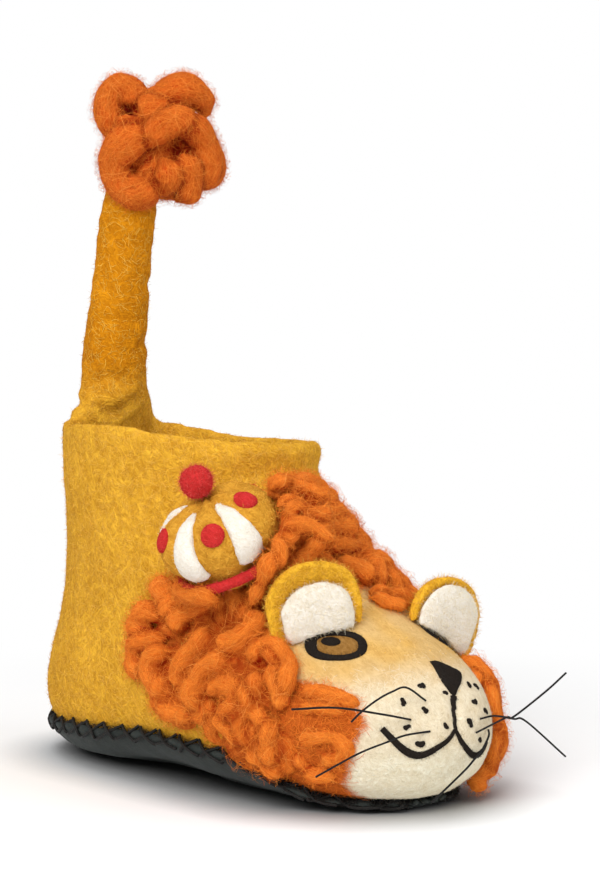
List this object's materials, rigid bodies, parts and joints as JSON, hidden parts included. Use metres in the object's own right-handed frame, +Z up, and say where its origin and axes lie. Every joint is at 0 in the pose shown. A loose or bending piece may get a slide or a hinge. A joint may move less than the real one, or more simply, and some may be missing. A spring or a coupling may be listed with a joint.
{
  "type": "felt slipper",
  "caption": "Child's right felt slipper boot shaped as a lion: wool upper with looped mane, ears, small crown, standing tufted tail, thread whiskers and a turned-up suede sole.",
  "frame": {"origin": "on the floor, below the middle of the slipper's box without its whiskers", "axes": "+Z up, -Y towards the toe, -X towards the outer side of the right foot"},
  "size_m": [0.1037, 0.1699, 0.2151],
  "materials": {
    "mustard_felt": "matt wet-felted wool with a short fuzz",
    "orange_wool": "soft combed wool roving",
    "white_wool": "soft felted wool, off-white",
    "red_felt": "matt felted wool",
    "natural_felt": "matt pressed felt",
    "dark_suede": "matt suede nap",
    "black_thread": "waxed thread, slight sheen"
  },
  "bodies": {
    "root": {"upper": "mustard_felt", "outsole": "dark_suede", "insole": "natural_felt", "mane": "orange_wool", "ear_right": "mustard_felt", "ear_left": "mustard_felt", "ear_pad_right": "white_wool", "ear_pad_left": "white_wool", "crown_dome": "mustard_felt", "crown_band": "red_felt", "crown_bobble": "red_felt", "tail": "mustard_felt", "tail_tuft": "orange_wool", "whisker_lateral_top": "black_thread", "whisker_lateral_middle": "black_thread", "whisker_lateral_low": "black_thread", "whisker_medial_middle": "black_thread", "whisker_medial_top": "black_thread", "whisker_medial_low": "black_thread"}
  },
  "joints": []
}
